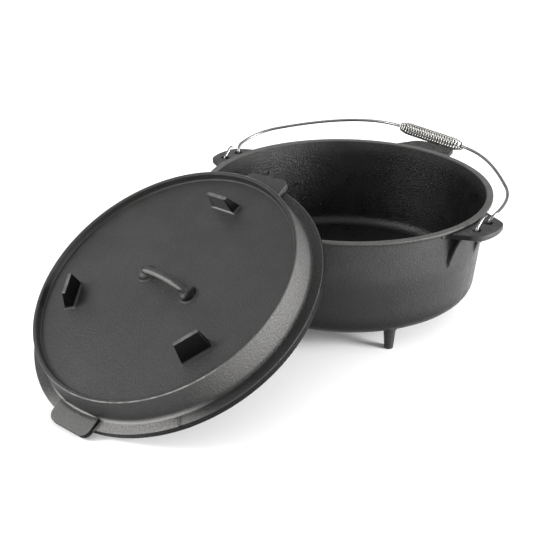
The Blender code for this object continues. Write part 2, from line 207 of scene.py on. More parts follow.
# Painted light: the tones from the crown's to the ridge's, all but the lip's, are painted highlights.
CROWN_HIGHLIGHT_TONE = (0.058, 0.057, 0.0555)
FOOT_INNER_LIGHT_TONE = (0.042, 0.0415, 0.041)
FOOT_LINE_HIGHLIGHT_TONE = (0.22, 0.217, 0.213)
FLANGE_HIGHLIGHT_TONE = (0.21, 0.207, 0.203)
TAB_HIGHLIGHT_TONE = (0.16, 0.157, 0.154)
CORNER_HIGHLIGHT_TONE = (0.26, 0.256, 0.25)
LIP_TONE = (0.004, 0.004, 0.004)
EDGE_HIGHLIGHT_TONE = (0.20, 0.197, 0.193)
RIDGE_HIGHLIGHT_TONE = (0.15, 0.148, 0.145)

# Studio
FLOOR_TURN = 45.3
LAMP_DISTANCE = 2.2
LAMP_HEIGHT = 0.06
SKY_STRENGTH = 0.95

# Camera
CAMERA_FROM = Vector((-0.66915, -0.66105, 0.52550))
CAMERA_WAY = Vector((0.6313, 0.6372, -0.4421))
CAMERA_LENS = 64.2


# ---------------------------------------------------------------- shapes


def turn_z(degrees):
    return Matrix.Rotation(math.radians(degrees), 4, "Z")


def turn_to(way, axis, up):
    """The turn that points one axis along a way and keeps another one upwards."""
    return way.to_track_quat(axis, up).to_matrix().to_4x4()


def arc(centre, radius, start, end, steps):
    """Points of an arc in a plane, with its angles in degrees."""
    points = []
    for step in range(steps + 1):
        angle = math.radians(start + (end - start) * step / steps)
        x = centre[0] + radius * math.cos(angle)
        y = centre[1] + radius * math.sin(angle)
        points.append(Vector((x, y)))
    return points


def circle(radius, sides):
    """The corners of a regular outline about the origin, anticlockwise from +X."""
    return arc((0, 0), radius, 0, 360, sides)[:-1]


def rounded(corners):
    """A line through the corners (x, y, radius), each of them rounded to its own radius."""
    line = []
    for index, (x, y, radius) in enumerate(corners):
        corner = Vector((x, y))
        if radius == 0:
            line.append(corner)
            continue
        before = Vector(corners[index - 1][:2]) - corner
        after = Vector(corners[(index + 1) % len(corners)][:2]) - corner
        half = before.angle(after) / 2
        reach = min(radius / math.tan(half), 0.48 * before.length, 0.48 * after.length)
        radius = reach * math.tan(half)
        before.normalize()
        after.normalize()
        centre = corner + (before + after).normalized() * radius / math.sin(half)
        first = (corner + before * reach - centre).normalized()
        last = (corner + after * reach - centre).normalized()
        steps = max(2, round((180 - math.degrees(2 * half)) / ARC_STEP))
        for step in range(steps + 1):
            line.append(centre + first.slerp(last, step / steps) * radius)
    return line


def spaced(line):
    """The same line with more points on it, so that none of its stretches is too long."""
    points = [line[0]]
    for start, end in zip(line, line[1:]):
        count = max(1, math.ceil((end - start).length / LONGEST_STRAIGHT))
        points += [start.lerp(end, (step + 1) / count) for step in range(count)]
    return points


def turned(profile, steps=ROUND_STEPS):
    """A solid turned about +Z. Its profile of (radius, z) runs from the axis, out, up and back to it."""
    bm = bmesh.new()
    rings = []
    for radius, z in profile:
        count = steps if radius > 0 else 1
        ring = []
        for step in range(count):
            angle = 2 * math.pi * step / steps
            ring.append(bm.verts.new((radius * math.cos(angle), radius * math.sin(angle), z)))
        rings.append(ring)
    for lower, upper in zip(rings, rings[1:]):
        for step in range(steps):
            after = step + 1
            corners = [
                lower[step % len(lower)],
                lower[after % len(lower)],
                upper[after % len(upper)],
                upper[step % len(upper)],
            ]
            bm.faces.new(list(dict.fromkeys(corners)))
    return bm


def lofted(rings):
    """A closed solid through rings of the same number of points, with both ends filled."""
    bm = bmesh.new()
    rows = [[bm.verts.new(point) for point in ring] for ring in rings]
    for row, after in zip(rows, rows[1:]):
        for corner in range(len(row)):
            beside = (corner + 1) % len(row)
            bm.faces.new([row[corner], row[beside], after[beside], after[corner]])
    bm.faces.new(rows[0])
    bm.faces.new(list(reversed(rows[-1])))
    return bm


def moved_out(outline, distance):
    """The outline, which runs anticlockwise, moved outwards by a distance."""
    moved = []
    for index, point in enumerate(outline):
        before = (point - outline[index - 1]).normalized()
        after = (outline[(index + 1) % len(outline)] - point).normalized()
        way = (before + after).normalized()
        moved.append(point + Vector((way.y, -way.x)) * distance)
    return moved


def plate(outline, low, high, edge):
    """The outline in the XY plane as a plate from low to high, with rounded rims."""
    steps = 4
    levels = []
    for step in range(steps + 1):
        angle = math.pi / 2 * step / steps
        levels.append((low + edge * (1 - math.cos(angle)), edge * (math.sin(angle) - 1)))
    for step in range(steps + 1):
        angle = math.pi / 2 * step / steps
        levels.append((high - edge * (1 - math.sin(angle)), edge * (math.cos(angle) - 1)))
    return lofted([[(*point, z) for point in moved_out(outline, out)] for z, out in levels])


def cast_on_levels(low, high, flare, edge):
    """Heights of something cast on, and how far it spreads at each: flared at its root, round on top."""
    steps = 6
    start = math.radians(14)
    levels = [(low - ROOT_DEPTH, flare * (1 - math.sin(start)))]
    for step in range(steps + 1):
        angle = start + (math.pi / 2 - start) * step / steps
        levels.append((low + flare * (1 - math.cos(angle)), flare * (1 - math.sin(angle))))
    for step in range(steps + 1):
        angle = math.pi / 2 * step / steps
        levels.append((high - edge * (1 - math.sin(angle)), -edge * (1 - math.cos(angle))))
    return levels


def swept(path, sections, side):
    """A capped bar along the path, with a section for each of its points, across side and the path."""
    rings = []
    for index, point in enumerate(path):
        ahead = path[min(index + 1, len(path) - 1)] - path[max(index - 1, 0)]
        ahead.normalize()
        side = (side - ahead * side.dot(ahead)).normalized()
        up = ahead.cross(side)
        rings.append([point + side * x + up * y for x, y in sections[index]])
    return lofted(rings)


def bezier(start, start_way, end, end_way, reach, steps):
    """A smooth stretch between two points that leaves and arrives along the given ways."""
    return interpolate_bezier(start, start + start_way * reach, end - end_way * reach, end, steps)


def wavy(bm):
    """Pulls the surface in by small, slow amounts, as a sand casting has them."""
    bm.normal_update()
    for vert in bm.verts:
        depth = 0.5 - 0.5 * noise.noise(vert.co / WAVE_LENGTH)
        vert.co -= vert.normal * depth * WAVE_HEIGHT
    return bm


def make_object(name, bm, matrix):
    """The mesh as an object of its own, with its faces turned outwards."""
    bmesh.ops.recalc_face_normals(bm, faces=bm.faces)
    mesh = bpy.data.meshes.new(name)
    bm.to_mesh(mesh)
    bm.free()
    obj = bpy.data.objects.new(name, mesh)
    bpy.context.scene.collection.objects.link(obj)
    obj.matrix_world = matrix
    return obj


def combine(body, helpers, operation):
    """Joins each helper to the body, or cuts it away, and removes the helper."""
    for helper in helpers:
        modifier = body.modifiers.new(helper.name, "BOOLEAN")
        modifier.operation = operation
        modifier.solver = "MANIFOLD"
        modifier.object = helper
    bpy.context.view_layer.update()
    graph = bpy.context.evaluated_depsgraph_get()
    mesh = bpy.data.meshes.new_from_object(body.evaluated_get(graph), depsgraph=graph)
    body.modifiers.clear()
    body.data = mesh
    for helper in helpers:
        bpy.data.objects.remove(helper)


def smoothed(obj):
    """Smooth shading that keeps real edges, with flat stretches left flat beside their fillets.

    The mesh is put in the world's frame, so that its box is the piece's own box.
    """
    obj.data.transform(obj.matrix_world)
    obj.matrix_world = Matrix.Identity(4)
    obj.data.shade_smooth()
    obj.data.set_sharp_from_angle(angle=math.radians(SHARP_ANGLE))
    weighted = obj.modifiers.new("weighted_normals", "WEIGHTED_NORMAL")
    weighted.keep_sharp = True
    return obj


# ---------------------------------------------------------------- pot


def wall_radius(z):
    """The pot's outer radius on the straight stretch of its wall."""
    share = (z - WALL_FOOT_Z) / (WALL_TOP_Z - WALL_FOOT_Z)
    return WALL_FOOT_RADIUS + (WALL_TOP_RADIUS - WALL_FOOT_RADIUS) * share


def pot_profile():
    """Half of the pot's section: out along its underside, up the wall, over the rim and back inside."""
    floor_top = LEG_HEIGHT + WALL + 0.0005
    corners = [
        (0, LEG_HEIGHT, 0),
        (wall_radius(LEG_HEIGHT), LEG_HEIGHT, CORNER_RADIUS),
        (WALL_TOP_RADIUS, WALL_TOP_Z, 0.020),
        (WALL_TOP_RADIUS + 0.0012, LIP_LOW - 0.0002, 0.0008),
        (RIM_RADIUS, LIP_LOW + 0.0001, 0.0008),
        (RIM_RADIUS, RIM_TOP, 0.0011),
        (INNER_RADIUS, RIM_TOP, 0.0013),
        (wall_radius(floor_top) - WALL, floor_top, CORNER_RADIUS - WALL / 2),
        (0, floor_top, 0),
    ]
    return spaced(rounded(corners))


def make_leg(frame, index, angle):
    """A tapered peg, flared where it meets the pot's underside and rounded at its sole."""
    rings = []
    for z, out in cast_on_levels(0, LEG_HEIGHT, LEG_FLARE, LEG_EDGE):
        height = LEG_HEIGHT - z
        taper = LEG_SOLE_RADIUS + (LEG_TOP_RADIUS - LEG_SOLE_RADIUS) * height / LEG_HEIGHT
        rings.append([(*point, height) for point in circle(taper + out, 32)])
    rings[0] = [(x, y, z + 0.003) for x, y, z in rings[0]]
    place = frame @ turn_z(angle) @ Matrix.Translation((LEG_CIRCLE, 0, 0))
    return make_object(f"leg_{index}", lofted(rings), place)


def ear_outline(root_circle, corners=(EAR_CORNER, EAR_CORNER)):
    """An ear's plan, with +X out of the pot. Its sides curve into the root circle like a fillet.

    The fillet's centre is found by halving: it lies beside the straight side, a fillet's radius away
    from it and from the root circle.
    """
    slope = (EAR_ROOT_HALF - EAR_TIP_HALF) / (EAR_REACH - RIM_RADIUS)
    side_way = Vector((1, -slope)).normalized()
    outward = Vector((-side_way.y, side_way.x))
    corner = Vector((RIM_RADIUS, EAR_ROOT_HALF))
    fillet = EAR_ROOT_FILLET
    low, high = -0.04, 0.03
    for _ in range(40):
        middle = (low + high) / 2
        centre = corner + side_way * middle + outward * fillet
        if centre.length < root_circle + fillet:
            low = middle
        else:
            high = middle
    touch = centre - outward * fillet
    on_circle = centre.normalized() * root_circle
    root_angle = math.degrees(math.atan2(on_circle.y, on_circle.x))
    start = math.degrees(math.atan2(on_circle.y - centre.y, on_circle.x - centre.x))
    end = math.degrees(math.atan2(touch.y - centre.y, touch.x - centre.x))
    flank = arc(centre, fillet, end, start, 10)
    shoulder = EAR_REACH - EAR_BOW
    bow = []
    for step in range(-3, 4):
        share = step / 8
        bow.append((EAR_REACH - EAR_BOW * share**2, EAR_TIP_HALF * share, 0))
    tip = rounded(
        [
            (touch.x, -touch.y, 0),
            (shoulder, -EAR_TIP_HALF, corners[0]),
            *bow,
            (shoulder, EAR_TIP_HALF, corners[1]),
            (touch.x, touch.y, 0),
        ]
    )
    root = arc((0, 0), root_circle - 0.003, root_angle, -root_angle, 16)
    other_flank = [Vector((point.x, -point.y)) for point in reversed(flank)]
    return tip + flank[1:] + root + other_flank[:-1]


def make_ear(frame, index, angle):
    outline = ear_outline(WALL_TOP_RADIUS + 0.0008)
    bm = plate(outline, EAR_LOW, EAR_TOP, EAR_EDGE)
    return make_object(f"ear_{index}", bm, frame @ turn_z(angle))


def make_hole(frame, index, angle, offset):
    """A cutter that opens out like a trumpet at both faces of the ear."""
    half = EAR_THICKNESS / 2
    far = half + 0.003
    corners = []
    for turn in (0, 22.5, 45, 67.5, 85):
        out = HOLE_LIP * (1 - math.cos(math.radians(turn)))
        down = HOLE_LIP * (1 - math.sin(math.radians(turn)))
        corners.append((HOLE_RADIUS + out, half - down))
    upper = corners + [(corners[-1][0], far), (0, far)]
    lower = [(radius, -z) for radius, z in reversed(upper)]
    place = frame @ turn_z(angle) @ Matrix.Translation((HOLE_CIRCLE, offset, PIVOT_Z))
    return make_object(f"hole_{index}", turned(lower + upper, SMALL_ROUND_STEPS), place)


def make_gusset(frame, index, angle):
    """The radial web under an ear, in level slices: it spreads where it meets the wall and the plate."""
    start = Vector((GUSSET_REACH, EAR_LOW, 0))
    tip = Vector((wall_radius(GUSSET_TIP_Z), GUSSET_TIP_Z, 0))
    edge = bezier(start, Vector((-0.6, -0.8, 0)), tip, Vector((-0.35, -0.94, 0)), 0.012, 22)
    stations = [(GUSSET_REACH + 0.0005, PIVOT_Z), (GUSSET_REACH + 0.0002, EAR_LOW + 0.0002)]
    stations += [(point.x, point.y) for point in edge[1:]]
    stations.append((tip.x - 0.0006, tip.y - 0.0016))
    rings = []
    for reach, z in stations:
        wall = wall_radius(z)
        below = max(0.0, EAR_LOW - z)
        widen = 0.0014 * max(0.0, 1 - below / 0.003) ** 2
        fullness = 0.86 + 0.14 * min(1, max(0, reach - wall) / 0.012)
        half = GUSSET_THICKNESS / 2 * fullness + widen
        nose = min(half, GUSSET_NOSE)
        inner = wall - WALL / 2
        ring = []
        for share in (0, 0.3, 0.5, 0.7, 0.85, 1):
            x = inner + (reach - nose - inner) * share
            near_wall = max(0.0, 1 - abs(x - wall) / 0.004) ** 2 if x > wall - 0.001 else 1
            ring.append((x, -half - GUSSET_FILLET * near_wall))
        flank = list(ring)
        for turn in (-70, -45, -20, 0, 20, 45, 70):
            angle_of_nose = math.radians(turn)
            ring.append((reach - nose + nose * math.cos(angle_of_nose), half * math.sin(angle_of_nose)))
        ring += [(x, -y) for x, y in reversed(flank)]
        rings.append([(x, y, z) for x, y in ring])
    return make_object(f"gusset_{index}", lofted(rings), frame @ turn_z(angle))


def make_lug(frame):
    """The plain lug: an ear's shape, but wider and a little shorter towards -Y, and level with the rim."""
    outline = []
    for point in ear_outline(WALL_TOP_RADIUS + 0.0035, LUG_CORNERS):
        share = min(1.0, max(0.0, (point.x - WALL_TOP_RADIUS - 0.002) / 0.018))
        wider = 1 + LUG_WIDER * share if point.y < 0 else 1
        back = LUG_SLOPE * max(0.0, -point.y * wider - 0.003)
        outline.append(Vector((point.x - back, point.y * wider)))
    bm = plate(outline, LUG_TOP - EAR_THICKNESS, LUG_TOP, EAR_EDGE)
    return make_object("lug", bm, frame @ turn_z(LUG_ANGLE))


def make_pot(frame):
    pot = make_object("pot_casting", wavy(turned(pot_profile())), frame)
    added = [make_leg(frame, index, angle) for index, angle in enumerate(LEG_ANGLES)]
    holes = []
    for index, angle in enumerate(EAR_ANGLES):
        added.append(make_ear(frame, index, angle))
        for side in (-1, 1):
            count = len(holes)
            added.append(make_gusset(frame, count, angle + side * GUSSET_SPREAD))
            holes.append(make_hole(frame, count, angle, side * HOLE_OFFSET))
    added.append(make_lug(frame))
    combine(pot, added, "UNION")
    combine(pot, holes, "DIFFERENCE")
    return smoothed(pot)


# ---------------------------------------------------------------- lid


def lid_profile():
    """Half of the lid's section: out under it, round the flange, up its side, over the lip and back."""
    corners = [
        (0, DISC_UNDERSIDE, 0),
        (HOLLOW_RADIUS - 0.0025, DISC_UNDERSIDE, 0.008),
        (HOLLOW_RADIUS, 0, 0.0010),
        (FLANGE_RADIUS, 0, 0.0013),
        (FLANGE_RADIUS, FLANGE_THICKNESS, 0.0012),
        (CROWN_FOOT_RADIUS, FLANGE_THICKNESS, 0.0022),
        (LIP_TOP_RADIUS, LIP_TOP, 0.0014),
        (LIP_INNER_RADIUS + 0.0008, LIP_TOP, 0.0014),
        (LIP_INNER_RADIUS, DISC_TOP, 0.0020),
        (0, DISC_TOP, 0),
    ]
    return spaced(rounded(corners))


def make_tab(frame, index, angle):
    """A lifting tab: a pad that stands above the flange and reaches past its edge.

    Its corner on the lid's +Y side is softer, and on the far tab that corner also reaches less far.
    """
    root = FLANGE_RADIUS - 0.013
    half = TAB_HALF_WIDTH
    far = index == 0
    left, right = (TAB_CORNER, TAB_SOFT_CORNER) if far else (TAB_SOFT_CORNER, TAB_CORNER)
    drop = TAB_DROP if far else 0.0
    outline = rounded(
        [
            (root, -half, 0),
            (TAB_REACH, -half, left),
            (TAB_REACH - drop, half, right),
            (root, half, 0),
        ]
    )
    bm = plate(outline, TAB_UNDERSIDE, TAB_TOP, TAB_EDGE)
    return make_object(f"tab_{index}", bm, frame @ turn_z(angle))


def make_foot(frame, index, angle):
    """A wedge on the lid's top: upright towards the middle, sloping on its outer side."""
    rings = []
    for z, out in cast_on_levels(DISC_TOP, FOOT_TOP, FOOT_FLARE, FOOT_EDGE):
        share = min(1.0, max(0.0, (z - DISC_TOP) / FOOT_HEIGHT))
        inner = FOOT_INNER - out
        outer = FOOT_BASE_OUTER + (FOOT_TOP_OUTER - FOOT_BASE_OUTER) * share + out
        half = (FOOT_BASE_LENGTH + (FOOT_TOP_LENGTH - FOOT_BASE_LENGTH) * share) / 2 + out
        corners = ((inner, -half), (outer, -half), (outer, half), (inner, half))
        outline = rounded([(x, y, FOOT_CORNER) for x, y in corners])
        rings.append([(*point, z) for point in outline])
    return make_object(f"foot_{index}", lofted(rings), frame @ turn_z(angle))


def make_handle(frame):
    """The arched bar at the middle of the lid, cast on at both ends."""
    low, high = HANDLE_ENDS
    middle = (low + high) / 2
    half = (high - low) / 2
    steps = 48
    path = []
    for step in range(steps + 1):
        angle = math.pi * step / steps
        rise = HANDLE_RISE * math.sin(angle) ** 0.85 if 0 < step < steps else -0.002
        path.append(Vector((0, middle - half * math.cos(angle), DISC_TOP + rise)))
    section = [(x * HANDLE_HALF_WIDTH, y * HANDLE_HALF_THICKNESS) for x, y in circle(1, 28)]
    bar = swept(path, [section] * len(path), Vector((1, 0, 0)))
    return make_object("handle_bar", bar, frame)


def make_boss(frame, index, offset):
    """The round foot of the handle: a fillet out of the disc, a short side and a dome."""
    base = DISC_TOP - ROOT_DEPTH
    foot = BOSS_RADIUS + BOSS_FILLET
    shoulder = DISC_TOP + BOSS_WALL
    profile = [(0, base), (foot, base), (foot, DISC_TOP + 0.0001)]
    profile += arc((foot, DISC_TOP + 0.0025), BOSS_FILLET, 262, 188, 6)
    for turn in (12, 28, 44, 60, 75):
        angle = math.radians(turn)
        profile.append((BOSS_RADIUS * math.cos(angle), shoulder + BOSS_DOME * math.sin(angle)))
    profile.append((0, shoulder + BOSS_DOME))
    place = frame @ Matrix.Translation((0, offset, 0))
    return make_object(f"boss_{index}", turned(profile, SMALL_ROUND_STEPS), place)


def make_notch(frame):
    """The cutter of the V-shaped groove that runs out across the flange."""
    above = 0.003
    blunt = 0.0006
    inner = (CROWN_FOOT_RADIUS + 0.001, NOTCH_WIDTH / 2, NOTCH_DEPTH)
    outer = (FLANGE_RADIUS + 0.004, NOTCH_TIP_WIDTH / 2, NOTCH_DEPTH * 0.6)
    rings = []
    for radius, half, depth in (inner, outer):
        spread = half * (depth + above) / depth
        across = (-spread, -blunt, 0, blunt, spread)
        heights = (above, 0.0004 - depth, -depth, 0.0004 - depth, above)
        rings.append([(radius, y, FLANGE_THICKNESS + z) for y, z in zip(across, heights)])
    return make_object("notch", lofted(rings), frame @ turn_z(NOTCH_ANGLE))


def make_lid(frame):
    lid = make_object("lid_casting", wavy(turned(lid_profile())), frame)
    added = [make_tab(frame, index, angle) for index, angle in enumerate(TAB_ANGLES)]
    added += [make_foot(frame, index, angle) for index, angle in enumerate(FOOT_ANGLES)]
    added += [make_boss(frame, index, offset) for index, offset in enumerate(HANDLE_ENDS)]
    added.append(make_handle(frame))
    combine(lid, added, "UNION")
    combine(lid, [make_notch(frame)], "DIFFERENCE")
    return smoothed(lid)


# ---------------------------------------------------------------- bail and grip


def on_bail_plane(across, along):
    """A point of the bail's own plane, which tilts up to the back and passes over the hinge axis."""
    tilt = math.radians(BAIL_TILT)
    y = along * math.cos(tilt) - BAIL_OFFSET * math.sin(tilt)
    z = along * math.sin(tilt) + BAIL_OFFSET * math.cos(tilt)
    return Vector((across, y, z))


def bail_way(across, along):
    """A way in the bail's own plane."""
    return (on_bail_plane(across, along) - on_bail_plane(0, 0)).normalized()


def hook_points(side):
    """From the free tail over the ear, down the front hole, under the web and up to the rear hole."""
    tail = HOOK_TAIL_ANGLES[side]
    points = []
    steps = 44
    for step in range(steps + 1):
        angle = tail + (360 - tail) * step / steps
        openness = max(0.0, (180 - angle) / (180 - tail))
        spread = (HOOK_TAIL_RADII[side] - HOOK_RADIUS) * openness**2
        radius = HOOK_RADIUS + spread - HOOK_TAIL_DIP * math.sin(math.pi * openness) ** 2
        turn = math.radians(angle)
        points.append(Vector((side * HOLE_CIRCLE, radius * math.cos(turn), radius * math.sin(turn))))
    return points


def bail_half(side, grip_end):
    """One half of the bail's wire, from its tail to the end of the straight stretch in the grip."""
    points = hook_points(side)
    shoulder = on_bail_plane(side * SHOULDER[0], SHOULDER[1])
    corner = on_bail_plane(side * ARC_START[0], ARC_START[1])
    slope = math.radians(ARC_START_SLOPE)
    rise = bail_way(0, 1)
    inward = bail_way(-side * math.cos(slope), math.sin(slope))
    grip_way = (Vector(GRIP_ENDS[0]) - Vector(GRIP_ENDS[1])).normalized() * side
    along_grip = bail_way(*grip_way)
    end = on_bail_plane(*grip_end)
    up = Vector((0, 0, 1))
    points += bezier(points[-1], up, shoulder, rise, 0.0075, 20)[1:]
    points += bezier(shoulder, rise, corner, inward, 0.019, 24)[1:]
    points += bezier(corner, inward, end, along_grip, (end - corner).length * 0.34, 40)[1:]
    return points


def make_bail(frame):
    """The bent wire. Both of its cut ends are rounded off within its first and last steps."""
    path = bail_half(1, GRIP_ENDS[1]) + list(reversed(bail_half(-1, GRIP_ENDS[0])))
    last = len(path) - 1
    path[0] = path[1].lerp(path[0], 0.35)
    path[last] = path[last - 1].lerp(path[last], 0.35)
    narrowed = {0: 0.55, 1: 0.92, last - 1: 0.92, last: 0.55}
    sections = [circle(WIRE_RADIUS * narrowed.get(index, 1), 20) for index in range(len(path))]
    bar = swept(path, sections, Vector((0, 1, 0)))
    return smoothed(make_object("bail_wire", bar, frame))


def coil_radius(along, length):
    """The coil's radius at a distance along it: a barrel that draws in at both ends."""
    edge = min(along, length - along)
    share = min(1.0, edge / COIL_TAPER)
    return COIL_END_RADIUS + (COIL_RADIUS - COIL_END_RADIUS) * math.sin(share * math.pi / 2)


def make_grip(frame, length):
    """The coiled wire sleeve, wound about its own +X, with the origin at its middle."""
    count = COIL_TURNS * COIL_STEPS_PER_TURN
    wound = length - 2 * COIL_WIRE_RADIUS - COIL_CLEARANCE
    path = []
    for step in range(count + 1):
        along = wound * step / count
        angle = 2 * math.pi * step / COIL_STEPS_PER_TURN
        radius = coil_radius(along, wound)
        path.append(Vector((along - wound / 2, radius * math.cos(angle), radius * math.sin(angle))))
    wire = swept(path, [circle(COIL_WIRE_RADIUS, 12)] * len(path), Vector((1, 0, 0)))
    return smoothed(make_object("coil_sleeve", wire, frame))


# ---------------------------------------------------------------- materials


class Nodes:
    """Adds shader nodes to a new material, with their settings and inputs by name.

    Its textures lie in the frame of the piece that it is for.
    """

    def __init__(self, name, frame):
        self.material = bpy.data.materials.new(name)
        self.material.use_nodes = True
        self.tree = self.material.node_tree
        self.shader = self.tree.nodes["Principled BSDF"]
        values = {
            "Vector": self.tree.nodes.new("ShaderNodeTexCoord").outputs["Object"],
            "Location": frame.to_translation(),
            "Rotation": frame.to_euler(),
        }
        self.place = self.add("ShaderNodeMapping", {"vector_type": "TEXTURE"}, values)

    def set(self, socket, value):
        if isinstance(value, bpy.types.NodeSocket):
            self.tree.links.new(value, socket)
        elif isinstance(value, tuple) and len(value) == 3 and len(socket.default_value) == 4:
            socket.default_value = (*value, 1.0)
        else:
            socket.default_value = value

    def add(self, kind, settings=None, inputs=None):
        node = self.tree.nodes.new(kind)
        for name, value in (settings or {}).items():
            setattr(node, name, value)
        for key, value in (inputs or {}).items():
            self.set(node.inputs[key], value)
        return node.outputs[0]

    def split(self):
        """The x, y and z of a place in the frame of the piece."""
        node = self.tree.nodes.new("ShaderNodeSeparateXYZ")
        self.set(node.inputs[0], self.place)
        return node.outputs

    def noise(self, scale, detail, roughness=0.55):
        values = {"Vector": self.place, "Scale": scale, "Detail": detail, "Roughness": roughness}
        return self.add("ShaderNodeTexNoise", inputs=values)

    def math(self, operation, first, second=0.0):
        return self.add("ShaderNodeMath", {"operation": operation}, {0: first, 1: second})

    def product(self, first, *others):
        """All the values multiplied: a mask that holds only where each of its parts does."""
        for other in others:
            first = self.math("MULTIPLY", first, other)
        return first

    def largest(self, first, *others):
        """The largest of the values: a mask that holds where any of its parts does."""
        for other in others:
            first = self.math("MAXIMUM", first, other)
        return first

    def distance(self, first, second):
        """The distance from an axis, out of the two coordinates across it."""
        squares = self.math("ADD", self.product(first, first), self.product(second, second))
        return self.math("SQRT", squares)

    def spread(self, value, low, high, to_low=0.0, to_high=1.0):
        """The value from low..high moved onto to_low..to_high, smooth at both ends and kept within them.

        Where low is above high, it falls instead of rising.
        """
        values = {"Value": value, "From Min": low, "From Max": high, "To Min": to_low, "To Max": to_high}
        return self.add("ShaderNodeMapRange", {"interpolation_type": "SMOOTHSTEP"}, values)

    def mix(self, share, first, second):
        node = self.tree.nodes.new("ShaderNodeMix")
        node.data_type = "RGBA"
        self.set(node.inputs[0], share)
        self.set(node.inputs[6], first)
        self.set(node.inputs[7], second)
        return node.outputs[2]

    def bump(self, height, strength, distance):
        values = {"Height": height, "Strength": strength, "Distance": distance}
        return self.add("ShaderNodeBump", inputs=values)

    def finish(self, inputs):
        for name, value in inputs.items():
            self.set(self.shader.inputs[name], value)
        return self.material


class CastIron(Nodes):
    """Sand-cast iron with blotches and specks, onto which more tones are painted by place.

    Its x, y and z, and its radius from the Z axis, are measured in the frame of the piece.
    """

    def __init__(self, name, frame, blotch_scale, dark, light):
        super().__init__(name, frame)
        self.x, self.y, self.z = self.split()
        self.radius = self.distance(self.x, self.y)
        blotches = self.noise(blotch_scale, 4.0, 0.6)
        specks = self.noise(900.0, 2.0, 0.6)
        self.tone = self.mix(self.spread(blotches, 0.35, 0.7), dark, light)
        self.paint(self.spread(specks, 0.60, 0.74, 0.0, 0.5), SPECK_TONE)

    def paint(self, mask, tone):
        self.tone = self.mix(mask, self.tone, tone)

    def toward(self, degrees):
        """How far out a place lies in one direction, which is an angle from +X towards +Y."""
        turn = math.radians(degrees)
        along_x = self.product(self.x, math.cos(turn))
        along_y = self.product(self.y, math.sin(turn))
        return self.math("ADD", along_x, along_y)

    def grain(self, amount):
        """The skin: coarse and fine grain, with a few pits."""
        coarse = self.noise(420.0, 3.0, 0.62)
        fine = self.noise(1500.0, 2.0, 0.6)
        cells = self.add("ShaderNodeTexVoronoi", inputs={"Vector": self.place, "Scale": 380.0})
        pits = self.spread(cells, 0.0, 0.22, -1.0, 0.0)
        height = self.math("ADD", self.product(fine, 0.35), coarse)
        height = self.math("ADD", height, self.product(pits, 0.30))
        return self.bump(height, amount, 0.0011)

    def roughness(self, low, high):
        return self.spread(self.noise(60.0, 4.0), 0.3, 0.7, low, high)

    def cast(self, black, least_shine, rough, grain_amount):
        """The finished iron. It shines less, down to the least shine, where the black mask holds."""
        return self.finish(
            {
                "Base Color": self.tone,
                "Specular IOR Level": self.spread(black, 0.0, 1.0, 0.5, least_shine),
                "Roughness": rough,
                "Metallic": 0.0,
                "IOR": 1.40,
                "Normal": self.grain(grain_amount),
            }
        )


# A mark is a product of spreads. Each spread runs from where the mark starts to where it is full,
# as small distances from the dimension that the mark follows.


def pot_shade(iron):
    """The pot's painted shade: on its gussets, the near side of the ear on the -Y side and the step under
    the rim.
    """
    slope = (WALL_TOP_RADIUS - WALL_FOOT_RADIUS) / (WALL_TOP_Z - WALL_FOOT_Z)
    wall = iron.math("ADD", iron.product(iron.z, slope), WALL_FOOT_RADIUS - WALL_FOOT_Z * slope)
    past_wall = iron.math("SUBTRACT", iron.radius, wall)
    web = iron.product(
        iron.spread(past_wall, 0.0003, 0.0009),
        iron.spread(iron.z, GUSSET_TIP_Z - 0.0025, GUSSET_TIP_Z - 0.0005),
        iron.spread(iron.z, EAR_LOW + 0.0003, EAR_LOW - 0.0003),
    )
    flank = iron.product(
        iron.spread(past_wall, 0.0014, 0.0020),
        iron.spread(iron.x, -0.0100, -0.0140),
        iron.spread(iron.y, -0.1825, -0.1795),
        iron.spread(iron.z, EAR_TOP - 0.0004, EAR_TOP - 0.0012),
        iron.spread(iron.z, EAR_LOW - 0.0006, EAR_LOW - 0.0002),
    )
    under_lip = iron.product(
        iron.spread(iron.z, LIP_LOW - 0.0013, LIP_LOW - 0.0007),
        iron.spread(iron.z, LIP_LOW + 0.0009, LIP_LOW + 0.0004),
        iron.spread(iron.radius, WALL_TOP_RADIUS - 0.0005, WALL_TOP_RADIUS),
        iron.spread(iron.radius, RIM_RADIUS + 0.0012, RIM_RADIUS + 0.0003),
    )
    return iron.largest(web, flank, under_lip)


